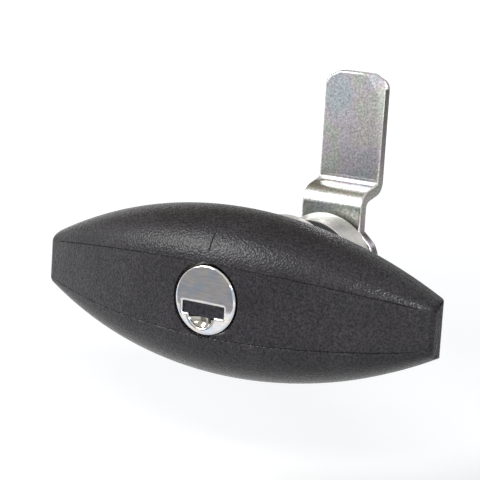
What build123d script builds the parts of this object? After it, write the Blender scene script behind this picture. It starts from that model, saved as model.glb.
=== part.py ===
"""Lockable wing handle with a quarter-turn cam, for a cabinet or vehicle door.

The lock axis is Y and the origin lies on it, in the plane of the panel's outer face, where the housing
flange seats. +Y goes into the panel, +X is to the right seen from the front, and +Z is up. At rest the wing
lies level, the cam points up, the key slot is level and the lock bolt is drawn in. Sizes are in millimetres.
"""
from build123d import *
import os
from math import copysign, cos, pi, radians, sin, sqrt, tan

# General clearances
running_gap = 0.06
seat_gap = 0.05
slide_gap = 0.10
pin_gap = 0.02
free_gap = 0.3

# Wing, seen from the front
wing_half_length = 50.0
wing_half_middle = 18.9
wing_half_end = 6.1
panel_half_middle = 8.1
panel_half_end = 4.2
# Wing, depths along the lock axis, with the panel's outer face at 0
key_face_y = -33.4
front_y_middle = -33.4
front_y_end = -22.8
rear_y_middle = -19.5
rear_y_end = -18.1
flank_lean = 5.3
flank_fullness = 0.8
wing_stations = 9
end_round = 1.0
# Wing mouldings
shell_wall = 2.5
end_wall = 4.0
cover_thickness = 2.0
rim_depth = 1.6
rim_thickness = 1.3
rib_thickness = 1.6
rib_places = (25.5, 30.5, 41.5)
spine_start = 12.0
spine_end = 44.0
plate_wall_start = 11.0
plate_wall_end = 21.0
boss_wall = 2.5
neck_wall = 2.0
neck_flare = 0.5
neck_fillet = 3.1

# Screws that close the wing
cover_screw_radius = 1.5
cover_screw_head_radius = 2.8
cover_screw_head_height = 1.4
cover_screw_length = 8.5
outer_screw_share = 0.6
screw_point_room = 0.5
driver_cross_half = 1.5
driver_cross_width = 0.6
driver_cross_floor = 0.4
inner_screw_x = 19.0
outer_screw_x = 36.0
screw_boss_radius = 3.4
drive_plate_length = 46.0
drive_plate_width = 13.0
drive_plate_thickness = 4.0

# Housing
barrel_radius = 11.0
barrel_length = 17.2
barrel_wall = 1.0
flat_cut = 1.0
collar_depth = 1.1
flange_overhang = 4.0
flange_thickness = 5.5
flange_chamfer = 1.2
gasket_inset = 0.8
gasket_width = 2.2
gasket_thickness = 1.4
keeper_wall = 2.1
lug_inset = 0.8
lug_width = 2.2
lug_half_angle = 12.0
lug_centre_angle = 180.0
handle_travel = 90.0
stop_margin = 1.0

# Nut and its washer
nut_thickness = 6.9
nut_to_barrel_end = 0.2
nut_front_wall = 1.5
nut_rear_wall = 2.55
nut_edge_chamfer = 0.4
washer_thickness = 1.1
nut_slot_width = 3.0
nut_slot_depth = 1.5
nut_slot_outer_wall = 0.85

# Spindle
tube_wall = 1.8
shaft_wall = 4.0
square_width = 8.0
square_short_of_cam = 0.2
screw_hole_front_y = 4.5
ring_groove_y = 6.0
ring_groove_width = 1.9
ring_section_radius = 0.7
thrust_ring_thickness = 0.9

# Cam
cam_width = 16.0
cam_thickness = 2.5
cam_offset = 7.2
cam_reach = 46.0
stop_disc_thickness = 0.95
cam_head_half_width = 11.9
cam_shoulder_top = 9.9
cam_shoulder_low = 7.3
cam_cheek_top = 5.3
cam_cheek_slope = 0.9
cam_ramp_angle = 15.0
cam_ramp_height = 17.45
lower_bend_radius = 3.0
upper_bend_radius = 1.9
tip_corner_width = 3.8
tip_corner_height = 1.9
tip_round = 2.4
lead_in_width = 5.2
lead_in_height = 7.0
lead_in_depth = 1.1
left_lead_in_share = 0.55
sheared_edge_round = 0.5
foot_groove_radius = 1.6
foot_groove_depth = 0.15
foot_groove_rise = 0.6
foot_groove_margin = 1.2

# Cam screw and washers
cam_screw_radius = 2.95
cam_screw_flats = 10.0
cam_screw_head = 4.0
cam_screw_tip_y = 6.5
plain_washer_radius = 6.2
plain_washer_thickness = 1.0
spring_washer_radius = 5.1
spring_washer_thickness = 1.4
spring_washer_split = 0.9
washer_hole_gap = 0.2
head_edge_bevel = 0.3

# Key cylinder
shell_behind_face = 2.95
shell_length = 19.8
cylinder_wall = 1.6
clip_thickness = 0.8
clip_groove_depth = 1.0
clip_width = 2.0
clip_mouth = 8.0
tail_width = 5.0
tail_length = 3.4
plug_behind_clip = 0.45
shell_pin_radius = 0.8
shell_pin_inset = 0.95
shell_pin_reach = 0.9

# Key way and wafers
key_way_end_wall = 1.3
key_way_x = -0.4
key_way_top = -0.95
key_way_bottom = -3.35
wafer_count = 6
wafer_pitch = 2.4
first_wafer_behind_face = 7.5
wafer_thickness = 1.0
wafer_top = 0.75
wafer_bottom = -4.55
wafer_travel = 0.8
wafer_codes = (0.4, -0.2, 0.6, 0.0, -0.4, 0.2)
window_margin = 0.25
ear_width = 1.3
ear_top = 2.6
wafer_spring_radius = 0.5
wafer_spring_wire = 0.25
wafer_spring_length = 3.7
wafer_spring_turns = 4

# Steel face of the key cylinder
cap_to_shell = 0.4
cap_to_hole = 0.5
cap_sheet = 0.5
cap_depth = 2.5
cap_edge_round = 0.65
slot_to_cap_edge = 2.45
slot_top = -0.9
slot_bottom = -3.4
slot_bevel = 0.25
notch_radius = 3.4
notch_x = -0.8
notch_centre_z = -2.8
scoop_radius = 3.2
scoop_centre_z = -4.3
scoop_depth = 1.2

# Dust shutter
shutter_pin_radius = 0.5
shutter_pin_z = 0.45
shutter_thickness = 0.45
shutter_bottom = -3.9
shutter_head_wall = 0.7
shutter_cavity_margin = 0.25
knuckle_radius = 0.9
knuckle_inner_x = 2.3
shutter_spring_radius = 0.72
shutter_spring_wire = 0.22
shutter_spring_turns = 6

# Lock bolt and its driver
bolt_half_width = 4.4
bolt_thickness = 3.2
bolt_bottom = -6.0
driver_inset = 2.2
driver_thickness = 3.4
driver_to_plug = 0.35
driver_to_bolt = 0.4
crank_radius = 2.0
crank_pin_radius = 1.3
crank_gap = 0.12

# Sizes that follow from the ones above
far_front_y = front_y_middle - 5.0
tube_radius = barrel_radius - barrel_wall
shaft_radius = barrel_radius - shaft_wall
shell_radius = tube_radius - tube_wall
plug_radius = shell_radius - cylinder_wall
cap_radius = shell_radius - cap_to_shell
plug_head_radius = cap_radius - cap_sheet - pin_gap
slot_half_length = cap_radius - slot_to_cap_edge
key_way_width = 2 * (slot_half_length - key_way_end_wall)
window_half_width = key_way_width / 2 + seat_gap
shutter_edge_radius = plug_head_radius - shutter_head_wall
shutter_half_width = slot_half_length + seat_gap
shutter_pin_length = 2 * shutter_edge_radius
clip_groove_radius = plug_radius - clip_groove_depth
clip_outer_radius = clip_groove_radius + clip_width
driver_radius = shell_radius - driver_inset
bolt_tip_radius = tube_radius - free_gap
neck_radius = tube_radius + neck_wall
neck_root_radius = neck_radius + neck_flare
flange_radius = barrel_radius + flange_overhang
gasket_outer_radius = flange_radius - gasket_inset
gasket_inner_radius = gasket_outer_radius - gasket_width
keeper_depth = flange_radius - keeper_wall
lug_outer_radius = barrel_radius - lug_inset
lug_inner_radius = lug_outer_radius - lug_width
stop_disc_radius = lug_outer_radius + slide_gap
nut_front_radius = barrel_radius + nut_front_wall
nut_rear_radius = barrel_radius + nut_rear_wall
nut_slot_radius = nut_rear_radius - nut_slot_outer_wall
shaft_shoulder_y = barrel_length + seat_gap
nut_front_y = barrel_length - nut_to_barrel_end - nut_thickness
lug_height = stop_disc_thickness + seat_gap - slide_gap
neck_end_y = -flange_thickness - slide_gap - thrust_ring_thickness
crank_reach = crank_radius * cos(radians(45))
bolt_travel = 2 * crank_reach
ring_groove_radius = shaft_radius + running_gap - 2 * ring_section_radius - pin_gap
cap_inner_y = key_face_y + cap_sheet
front_wall_rear_y = front_y_middle + shell_wall
tube_front_y = front_wall_rear_y + 0.2
shell_front_y = key_face_y + shell_behind_face
shell_rear_y = shell_front_y + shell_length
shell_pin_y = shell_rear_y - shell_pin_inset
clip_front_y = shell_rear_y + seat_gap
plug_end_y = clip_front_y + clip_thickness + plug_behind_clip
driver_front_y = plug_end_y + driver_to_plug
driver_rear_y = driver_front_y + driver_thickness
bolt_front_y = driver_rear_y + driver_to_bolt
bolt_rear_y = bolt_front_y + bolt_thickness
parting_middle = rear_y_middle - cover_thickness
parting_end = rear_y_end - cover_thickness
plate_rear_y = parting_middle - seat_gap
plate_front_y = plate_rear_y - drive_plate_thickness
cam_front_y = shaft_shoulder_y + stop_disc_thickness
cam_rear_y = cam_front_y + cam_thickness
plain_washer_rear_y = cam_rear_y + plain_washer_thickness
spring_washer_rear_y = plain_washer_rear_y + spring_washer_thickness
shutter_pin_y = cap_inner_y + knuckle_radius + slide_gap
cavity_end_y = shutter_pin_y + shutter_pin_z - shutter_bottom + shutter_cavity_margin
first_wafer_y = key_face_y + first_wafer_behind_face
wafer_places = [first_wafer_y + wafer_pitch * i for i in range(wafer_count)]
key_way_end_y = wafer_places[-1] + 1.5


def axial(y):
    """Plane across the lock axis at depth y. Its x is X, its y is Z, and it faces the front."""
    return Plane(origin=(0, y, 0), x_dir=(1, 0, 0), z_dir=(0, -1, 0))


def rod(radius, y0, y1, x=0.0, z=0.0):
    """Cylinder along the lock axis from y0 to y1."""
    return axial(y0) * Pos(x, z, 0) * Cylinder(radius, y1 - y0, align=(Align.CENTER, Align.CENTER, Align.MAX))


def taper(radius0, radius1, y0, y1):
    """Cone along the lock axis, radius0 at y0 and radius1 at y1."""
    return axial(y0) * Cone(radius1, radius0, y1 - y0, align=(Align.CENTER, Align.CENTER, Align.MAX))


def ring(outer, inner, y0, y1):
    """Flat ring round the lock axis."""
    return rod(outer, y0, y1) - rod(inner, y0, y1)


def block(x0, x1, y0, y1, z0, z1):
    """Box between two corners."""
    return Pos(x0, y0, z0) * Box(x1 - x0, y1 - y0, z1 - z0, align=(Align.MIN, Align.MIN, Align.MIN))


def square_bar(width, y0, y1):
    """Square bar along the lock axis."""
    return block(-width / 2, width / 2, y0, y1, -width / 2, width / 2)


def cross_pin(radius, x0, x1, y, z):
    """Cylinder along X from x0 to x1."""
    body = Cylinder(radius, x1 - x0, align=(Align.CENTER, Align.CENTER, Align.MIN))
    return Pos(x0, y, z) * Rot(0, 90, 0) * body


def upright_pin(radius, z0, z1, y):
    """Cylinder along Z from z0 to z1."""
    return Pos(0, y, z0) * Cylinder(radius, z1 - z0, align=(Align.CENTER, Align.CENTER, Align.MIN))


def sector(inner, outer, angle0, angle1, y0, y1):
    """Part of a ring between two angles, counted in degrees from +Z towards +X."""
    reach = 3 * outer
    angles = [angle0, (angle0 + angle1) / 2, angle1]
    corners = [(reach * sin(radians(a)), reach * cos(radians(a))) for a in angles]
    wedge = axial(y0) * make_face(Polyline((0, 0), *corners, (0, 0)).edges())
    return ring(outer, inner, y0, y1) & extrude(wedge, -(y1 - y0))


def coil(radius, wire, turns, length):
    """Coil spring along +Z from the origin, with its mean radius and wire thickness."""
    path = Helix(length / turns, length, radius)
    return sweep((path ^ 0) * Circle(wire / 2), path=path, is_frenet=True)


def bow(x, middle, end):
    """Value at x on the circular arc that runs from middle at the lock axis to end at the wing's tip."""
    rise = end - middle
    radius = (wing_half_length**2 + rise**2) / (2 * rise)
    return middle + radius - copysign(sqrt(radius**2 - x**2), radius)


def wing_section(x, inset):
    """Cross-section of the wing at x, drawn inside the outer form by inset."""
    front = bow(x, front_y_middle, front_y_end) + inset
    rear = bow(x, rear_y_middle, rear_y_end)
    panel = bow(x, panel_half_middle, panel_half_end) - inset / 2
    outer = bow(x, wing_half_middle, wing_half_end) - inset
    shoulder = front + (outer - panel) * tan(radians(flank_lean))
    weights = [1.0, flank_fullness, 1.0]
    face = Line((front, -panel), (front, panel))
    upper = Bezier((front, panel), (shoulder, outer), (rear, outer), weights=weights)
    back = Line((rear, outer), (rear, -outer))
    lower = Bezier((rear, -outer), (shoulder, -outer), (front, -panel), weights=weights)
    outline = make_face((face + upper + back + lower).edges())
    return Plane(origin=(x, 0, 0), x_dir=(0, 1, 0), z_dir=(1, 0, 0)) * outline


def wing_form(inset=0.0, end_inset=0.0):
    """Solid form of the wing, inset from its faces, flanks and tips."""
    half = wing_half_length - end_inset
    places = [half * (2 * i / (wing_stations - 1) - 1) for i in range(wing_stations)]
    return loft([wing_section(x, inset) for x in places])


def behind(middle, end, forward=0.0):
    """Everything behind the bowed surface that parts the wing shell from its cover."""
    reach = 1.1 * wing_half_length
    edge_y = bow(reach, middle, end) - forward
    far_y = 0.0
    arc = ThreePointArc((-reach, edge_y), (0, middle - forward), (reach, edge_y))
    rest = Polyline((reach, edge_y), (reach, far_y), (-reach, far_y), (-reach, edge_y))
    return extrude(make_face((arc + rest).edges()), 2 * wing_half_middle, both=True)


def drive_plate(clearance, y0, y1):
    """Round-ended plate across the spindle that carries the turning force of the wing."""
    shape = axial(y0) * SlotOverall(drive_plate_length + 2 * clearance, drive_plate_width + 2 * clearance)
    return extrude(shape, -(y1 - y0))


def outer_wing():
    """Wing form with its tip edges rounded."""
    form = wing_form()
    for tip in (form.faces().sort_by(Axis.X)[0], form.faces().sort_by(Axis.X)[-1]):
        near = [e for e in form.edges() if abs(e.center().X - tip.center().X) < 0.01]
        form = fillet(near, end_round)
    return form


def wing_shell(outer):
    """Front moulding: bowed face and flanks, hollow and ribbed behind, with bosses for four screws."""
    core = wing_form(shell_wall, end_wall)
    parting = behind(parting_middle, parting_end)
    short_of_rim = behind(parting_middle, parting_end, rim_depth + free_gap)
    half_rib = rib_thickness / 2
    tall = wing_half_middle
    body = outer - core
    inside = []
    for side in (-1, 1):
        for x in rib_places:
            rib = block(side * x - half_rib, side * x + half_rib, far_front_y, 0, -tall, tall)
            inside.append((rib & core) - short_of_rim)
        ends = sorted((side * spine_start, side * spine_end))
        spine = block(ends[0], ends[1], far_front_y, 0, -half_rib, half_rib)
        inside.append((spine & core) - short_of_rim)
        for x in (inner_screw_x, outer_screw_x):
            inside.append(rod(screw_boss_radius, far_front_y, 0, x=side * x) & outer)
        wall_z = drive_plate_width / 2 + seat_gap
        ends = sorted((side * plate_wall_start, side * plate_wall_end))
        wall = block(ends[0], ends[1], far_front_y, 0, wall_z, wall_z + rib_thickness)
        inside.append((wall & core) - short_of_rim)
        inside.append((mirror(wall, Plane.XY) & core) - short_of_rim)
    inside.append(rod(tube_radius + boss_wall, far_front_y, 0) & outer)
    for piece in inside:
        body += piece
    body -= parting
    body -= rod(cap_radius + cap_to_hole, far_front_y, front_wall_rear_y)
    body -= rod(tube_radius + seat_gap, front_wall_rear_y, 0)
    body -= drive_plate(seat_gap, plate_front_y - seat_gap, 0)
    for x in (inner_screw_x, outer_screw_x):
        for side in (-1, 1):
            body -= rod(cover_screw_radius + seat_gap, screw_tip_y(x) - screw_point_room, 0, x=side * x)
    return body


def screw_seat_y(x):
    """Depth where the countersunk seat of the cover screw at x begins."""
    return bow(x, rear_y_middle, rear_y_end) - cover_screw_head_height - slide_gap


def screw_tip_y(x):
    """Depth where the shank of the cover screw at x ends; the outer screws are shorter."""
    share = 1.0 if x == inner_screw_x else outer_screw_share
    return screw_seat_y(x) - cover_screw_length * share


def cover_screws():
    """Four countersunk screws that hold the cover and the spindle's plate to the shell."""
    screws = []
    half = driver_cross_half
    thin = driver_cross_width / 2
    for x in (inner_screw_x, outer_screw_x):
        seat = screw_seat_y(x)
        floor = seat + driver_cross_floor
        top = seat + cover_screw_head_height
        for side in (-1, 1):
            shank = rod(cover_screw_radius, screw_tip_y(x), seat, x=side * x)
            head = Pos(side * x, 0, 0) * taper(cover_screw_radius, cover_screw_head_radius, seat, top)
            cross = block(side * x - half, side * x + half, floor, top, -thin, thin)
            cross += block(side * x - thin, side * x + thin, floor, top, -half, half)
            screws.append(shank + head - cross)
    return Compound(children=[s.solid() for s in screws])


def back_cover(outer):
    """Rear moulding: plate that closes the wing, with a register rim and the neck down to the flange."""
    parting = behind(parting_middle, parting_end)
    plate = outer & parting
    gap = shell_wall + slide_gap
    rim = wing_form(gap, end_wall + slide_gap) - wing_form(gap + rim_thickness, end_wall + gap)
    rim = (rim & behind(parting_middle, parting_end, rim_depth)) - parting
    neck_y = rear_y_middle + neck_fillet
    bend = neck_fillet * (1 - cos(radians(45)))
    line = Line((0, neck_end_y), (neck_radius, neck_end_y)) + Line(
        (neck_radius, neck_end_y), (neck_root_radius, neck_y)
    )
    line += ThreePointArc(
        (neck_root_radius, neck_y),
        (neck_root_radius + bend, neck_y - neck_fillet + bend),
        (neck_root_radius + neck_fillet, rear_y_middle),
    )
    line += Polyline(
        (neck_root_radius + neck_fillet, rear_y_middle),
        (neck_root_radius + neck_fillet, rear_y_middle - cover_thickness / 2),
        (0, rear_y_middle - cover_thickness / 2),
        (0, neck_end_y),
    )
    neck = revolve(make_face(line.edges()), Axis.Y)
    body = plate + rim + neck
    body -= rod(tube_radius + seat_gap, far_front_y, 0)
    shank = cover_screw_radius + seat_gap
    head = cover_screw_head_radius + seat_gap
    for x in (inner_screw_x, outer_screw_x):
        seat = screw_seat_y(x)
        top = seat + cover_screw_head_height
        for side in (-1, 1):
            body -= rod(shank, far_front_y, seat, x=side * x)
            body -= Pos(side * x, 0, 0) * taper(shank, head, seat, top)
            body -= rod(head, top, 0, x=side * x)
    return body


def latch_housing():
    """Die-cast housing: flange, threaded barrel with two flats, keeper notches and the turning stop."""
    flange = rod(flange_radius, -flange_thickness, 0)
    front_edge = flange.edges().filter_by(GeomType.CIRCLE).sort_by(Axis.Y)[0]
    flange = chamfer(front_edge, flange_chamfer)
    half_flats = barrel_radius - flat_cut
    barrel = rod(barrel_radius, 0, barrel_length)
    barrel &= block(-barrel_radius, barrel_radius, 0, barrel_length, -half_flats, half_flats)
    body = flange + barrel
    body -= rod(tube_radius + running_gap, -flange_thickness, collar_depth)
    body -= rod(shaft_radius + running_gap, collar_depth, barrel_length)
    body -= ring(gasket_outer_radius, gasket_inner_radius, -gasket_thickness, 0)
    half = bolt_half_width + slide_gap
    notch = block(-half, half, -flange_thickness, bolt_rear_y + slide_gap, 0, keeper_depth)
    for turn in (0, handle_travel):
        body -= Rot(0, turn, 0) * notch
    low = lug_centre_angle - lug_half_angle
    high = lug_centre_angle + lug_half_angle
    body += sector(lug_inner_radius, lug_outer_radius, low, high, barrel_length, barrel_length + lug_height)
    return body


def flange_gasket():
    """Flat sealing ring that lies in the flange's rear groove."""
    return ring(gasket_outer_radius - seat_gap, gasket_inner_radius + seat_gap, -gasket_thickness, 0)


def clamp_washer():
    """Black washer on the barrel, in front of the nut."""
    inner = barrel_radius + slide_gap
    return ring(nut_front_radius - seat_gap, inner, nut_front_y - washer_thickness, nut_front_y)


def mounting_nut():
    """Round die-cast nut, wider towards the rear, with four blind spanner slots in its rear face."""
    rear_y = nut_front_y + nut_thickness
    body = taper(nut_front_radius, nut_rear_radius, nut_front_y, rear_y)
    body = chamfer(body.edges().filter_by(GeomType.CIRCLE), nut_edge_chamfer)
    body -= rod(barrel_radius + seat_gap, nut_front_y, rear_y)
    slot = block(-nut_slot_width / 2, nut_slot_width / 2, rear_y - nut_slot_depth, rear_y, 0, nut_rear_radius)
    slot &= rod(nut_slot_radius, nut_front_y, rear_y)
    for turn in (0, 90, 180, 270):
        body -= Rot(0, turn, 0) * slot
    return body


def spindle():
    """Die-cast spindle: tube for the key cylinder, drive plate, bolt slot, shaft and square for the cam."""
    body = rod(tube_radius, tube_front_y, collar_depth - slide_gap)
    body += drive_plate(0, plate_front_y, plate_rear_y)
    body += rod(shaft_radius, 0, shaft_shoulder_y)
    body += square_bar(square_width, shaft_shoulder_y, cam_rear_y - square_short_of_cam)
    body -= rod(shell_radius + seat_gap, tube_front_y, plug_end_y + slide_gap)
    body -= rod(driver_radius + free_gap, plug_end_y, bolt_front_y - slide_gap)
    half = bolt_half_width + seat_gap
    low = bolt_bottom - free_gap
    body -= block(-half, half, bolt_front_y - slide_gap, bolt_rear_y + slide_gap, low, 2 * tube_radius)
    groove_front_y = ring_groove_y - ring_groove_width / 2
    body -= ring(shaft_radius + 1, ring_groove_radius, groove_front_y, groove_front_y + ring_groove_width)
    body -= rod(cam_screw_radius + seat_gap, screw_hole_front_y, cam_rear_y)
    body -= upright_pin(shell_pin_radius + pin_gap, -tube_radius - 1, 0, shell_pin_y)
    for side in (-1, 1):
        body -= rod(cover_screw_radius + seat_gap, plate_front_y, plate_rear_y, x=side * inner_screw_x)
    return body


def spindle_o_ring():
    """Seal in the shaft's groove."""
    middle = ring_groove_radius + ring_section_radius + pin_gap / 2
    return axial(ring_groove_y) * Torus(middle, ring_section_radius)


def thrust_ring():
    """Low-friction ring under the neck, against the housing flange."""
    return ring(neck_radius, tube_radius + slide_gap, neck_end_y, neck_end_y + thrust_ring_thickness)


def stop_disc():
    """Washer on the cam square; its cut-out meets the housing's lug at both ends of the turn."""
    body = rod(stop_disc_radius, shaft_shoulder_y, cam_front_y)
    body -= square_bar(square_width + running_gap, shaft_shoulder_y, cam_front_y)
    low = lug_centre_angle - lug_half_angle - handle_travel - stop_margin
    high = lug_centre_angle + lug_half_angle + stop_margin
    inner = lug_inner_radius - free_gap
    return body - sector(inner, 2 * stop_disc_radius, low, high, shaft_shoulder_y, cam_front_y)


def cam_outline():
    """Front outline of the cam: tongue with cut corners, sloped shoulders and a round head."""
    half = cam_width / 2
    head = cam_head_half_width
    top = cam_reach
    right = [
        (head, 0),
        (head, cam_cheek_top),
        (head - cam_cheek_slope, cam_shoulder_low),
        (half, cam_shoulder_top),
        (half, top - tip_corner_height),
        (half - tip_corner_width, top),
    ]
    left = [(-x, z) for x, z in reversed(right)]
    edges = Polyline(*right, *left) + ThreePointArc((-head, 0), (0, -head), (head, 0))
    face = make_face(edges.edges())
    tip = [v for v in face.vertices() if v.Y > top - 2 * tip_corner_height]
    return fillet(tip, tip_round)


def cam():
    """Zinc-plated cam: pressed from strip with a joggle that sets the tongue further behind the panel."""
    middle_y = cam_front_y + cam_thickness / 2
    ramp_top = cam_ramp_height + cam_offset * tan(radians(cam_ramp_angle))
    path = FilletPolyline(
        (middle_y, -2 * cam_head_half_width),
        (middle_y, cam_ramp_height),
        (middle_y + cam_offset, ramp_top),
        (middle_y + cam_offset, 2 * cam_reach),
        radius=[lower_bend_radius, upper_bend_radius],
    )
    profile = make_face(offset(path, cam_thickness / 2, kind=Kind.INTERSECTION, side=Side.BOTH).edges())
    side_plane = Plane(origin=(0, 0, 0), x_dir=(0, 1, 0), z_dir=(1, 0, 0))
    strip = extrude(side_plane * profile, 2 * cam_head_half_width, both=True)
    body = roll_front_edges(strip & extrude(axial(0) * cam_outline(), -2 * cam_rear_y))
    body -= square_bar(square_width + running_gap, 0, 2 * cam_rear_y)
    for side, share in ((1, 1.0), (-1, left_lead_in_share)):
        body -= lead_in(side, share)
    return body - foot_groove()


def roll_front_edges(blank):
    """Rounds the front outline of the cam's blank, as the press rolls it in."""
    skin = [f for f in blank.faces() if f.normal_at(f.center()).Y < -0.1]
    edges = [e for f in skin for e in f.edges()]
    centres = [tuple(round(v, 3) for v in e.center()) for e in edges]
    outline = [e for e, c in zip(edges, centres) if centres.count(c) == 1]
    return fillet(outline, sheared_edge_round)


def foot_groove():
    """Shallow groove with round ends that the bending tool leaves across the foot of the tongue."""
    front = cam_front_y + cam_offset
    foot = cam_ramp_height + (cam_offset - cam_thickness / 2) * tan(radians(cam_ramp_angle))
    foot += cam_thickness / 2 / cos(radians(cam_ramp_angle))
    y = front + foot_groove_depth - foot_groove_radius
    z = foot + foot_groove_rise
    half = cam_width / 2 - foot_groove_margin
    bar = cross_pin(foot_groove_radius, -half, half, y, z)
    ends = [Pos(x, y, z) * Sphere(foot_groove_radius) for x in (-half, half)]
    return bar + ends[0] + ends[1]


def lead_in(side, share):
    """Wedge that the lead-in facet takes off the front of the tongue at one upper corner."""
    front = cam_front_y + cam_offset
    half = cam_width / 2
    wide, high, deep = lead_in_width * share, lead_in_height * share, lead_in_depth * share
    flat = [(side * (half - wide), front, cam_reach), (side * half, front, cam_reach - high)]
    corner = (side * half, front + deep, cam_reach)
    outward = Plane(
        origin=flat[0],
        x_dir=Vector(*flat[1]) - Vector(*flat[0]),
        z_dir=(Vector(*flat[1]) - Vector(*flat[0])).cross(Vector(*corner) - Vector(*flat[0])),
    )
    if outward.z_dir.Y > 0:
        outward = Plane(origin=outward.origin, x_dir=outward.x_dir, z_dir=-outward.z_dir)
    beyond = outward * Box(4 * half, 4 * half, cam_thickness, align=(Align.CENTER, Align.CENTER, Align.MIN))
    return beyond & block(-2 * half, 2 * half, 0, front + cam_thickness, cam_reach - 2 * high, 2 * cam_reach)


def cam_washer():
    """Plain washer behind the cam."""
    return ring(plain_washer_radius, cam_screw_radius + washer_hole_gap, cam_rear_y, plain_washer_rear_y)


def spring_washer():
    """Split spring washer under the screw head."""
    inner = cam_screw_radius + washer_hole_gap
    body = ring(spring_washer_radius, inner, plain_washer_rear_y, spring_washer_rear_y)
    half = spring_washer_split / 2
    cut = block(0, spring_washer_radius + 1, plain_washer_rear_y, spring_washer_rear_y, -half, half)
    return body - cut


def cam_screw():
    """Hexagon screw that holds the cam on the spindle's square."""
    rear_y = spring_washer_rear_y + cam_screw_head
    hexagon = axial(spring_washer_rear_y) * RegularPolygon(cam_screw_flats / 2, 6, major_radius=False)
    head = extrude(hexagon, -cam_screw_head)
    far = cam_screw_flats / 2
    head &= taper(2 * far, far, rear_y + head_edge_bevel - 2 * far, rear_y + head_edge_bevel)
    return head + rod(cam_screw_radius, cam_screw_tip_y, spring_washer_rear_y)


def broach(side):
    """Groove in the cylinder shell that takes the wafers when they spring out."""
    front_y = wafer_places[0] - wafer_thickness
    rear_y = wafer_places[-1] + wafer_thickness
    far = 2 * shell_radius
    slab = block(-far, far, front_y, rear_y, wafer_bottom - slide_gap, wafer_top + slide_gap)
    return rod(plug_radius + seat_gap, front_y, rear_y, x=side * wafer_travel) & slab


def cylinder_shell():
    """Fixed barrel of the key cylinder, with wafer grooves for both key positions."""
    body = ring(shell_radius, plug_radius + seat_gap, shell_front_y, shell_rear_y)
    for turn in (0, 90):
        for side in (-1, 1):
            body -= Rot(0, turn, 0) * broach(side)
    top = shell_pin_reach + seat_gap - shell_radius
    return body - upright_pin(shell_pin_radius + pin_gap, -2 * shell_radius, top, shell_pin_y)


def shell_pin():
    """Pin through the spindle's wall that keeps the cylinder shell from turning or coming out."""
    return upright_pin(shell_pin_radius, seat_gap - tube_radius, shell_pin_reach - shell_radius, shell_pin_y)


def plug():
    """Turning core of the key cylinder: key way, wafer slots, spring pockets and shutter cavity."""
    body = rod(plug_head_radius, cap_inner_y + pin_gap, shell_front_y - seat_gap)
    body += rod(plug_radius, shell_front_y - seat_gap, plug_end_y)
    body += square_bar(tail_width, plug_end_y, plug_end_y + tail_length)
    groove_rear_y = clip_front_y + clip_thickness + pin_gap
    body -= ring(2 * plug_radius, clip_groove_radius, clip_front_y - pin_gap, groove_rear_y)
    left = key_way_x - key_way_width / 2
    right = key_way_x + key_way_width / 2
    body -= block(left, right, key_face_y, key_way_end_y, key_way_bottom, key_way_top)
    left = key_way_x - shutter_half_width - shutter_cavity_margin
    right = key_way_x + shutter_half_width + shutter_cavity_margin
    low = shutter_bottom - shutter_cavity_margin
    high = shutter_pin_z + knuckle_radius + shutter_cavity_margin
    cavity = block(left, right, key_face_y, cavity_end_y, low, high)
    body -= cavity & rod(shutter_edge_radius + shutter_cavity_margin, key_face_y, cavity_end_y)
    body -= cross_pin(shutter_pin_radius + pin_gap, -cap_radius, cap_radius, shutter_pin_y, shutter_pin_z)
    scoop_y = cap_inner_y - scoop_radius + scoop_depth
    body -= Pos(notch_x, scoop_y, scoop_centre_z) * Sphere(scoop_radius)
    for i, y in enumerate(wafer_places):
        side = 1 if i % 2 == 0 else -1
        body -= wafer_slot(y)
        body -= spring_pocket(y, side)
    return body


def wafer_slot(y):
    """Slot across the plug for one wafer."""
    half = wafer_thickness / 2 + seat_gap
    return block(-cap_radius, cap_radius, y - half, y + half, wafer_bottom - seat_gap, wafer_top + seat_gap)


def spring_pocket(y, side):
    """Pocket in the plug for one wafer's ear and spring."""
    half = wafer_spring_radius + wafer_spring_wire
    ends = sorted((-side * (wafer_spring_length + seat_gap), side * (ear_width + wafer_travel)))
    return block(ends[0], ends[1], y - half, y + half, wafer_top, ear_top + slide_gap)


def wafer(index):
    """One sprung wafer, at the height where the right key holds it level with the plug."""
    y = wafer_places[index]
    side = 1 if index % 2 == 0 else -1
    centre = key_way_x + wafer_codes[index]
    half = wafer_thickness / 2
    body = block(-cap_radius, cap_radius, y - half, y + half, wafer_bottom, wafer_top)
    body &= rod(plug_radius - pin_gap, y - half, y + half)
    body -= block(
        centre - window_half_width,
        centre + window_half_width,
        y - half,
        y + half,
        key_way_bottom - window_margin,
        key_way_top + window_margin,
    )
    ear = sorted((side * seat_gap, side * ear_width))
    return body + block(ear[0], ear[1], y - half, y + half, wafer_top - free_gap, ear_top)


def wafer_springs():
    """Six coil springs, one behind each wafer's ear."""
    z = (wafer_top + ear_top) / 2
    springs = []
    for i, y in enumerate(wafer_places):
        side = 1 if i % 2 == 0 else -1
        length = wafer_spring_length - wafer_spring_wire
        spring = coil(wafer_spring_radius, wafer_spring_wire, wafer_spring_turns, length)
        springs.append(Pos(-side * (wafer_spring_wire / 2), y, z) * Rot(0, -side * 90, 0) * spring)
    return Compound(children=[s.solid() for s in springs])


def retaining_clip():
    """Clip in the plug's rear groove that keeps it in the shell."""
    rear_y = clip_front_y + clip_thickness
    body = ring(clip_outer_radius, clip_groove_radius + pin_gap, clip_front_y, rear_y)
    return body - block(-clip_mouth / 2, clip_mouth / 2, clip_front_y, rear_y, -2 * clip_outer_radius, 0)


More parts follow.
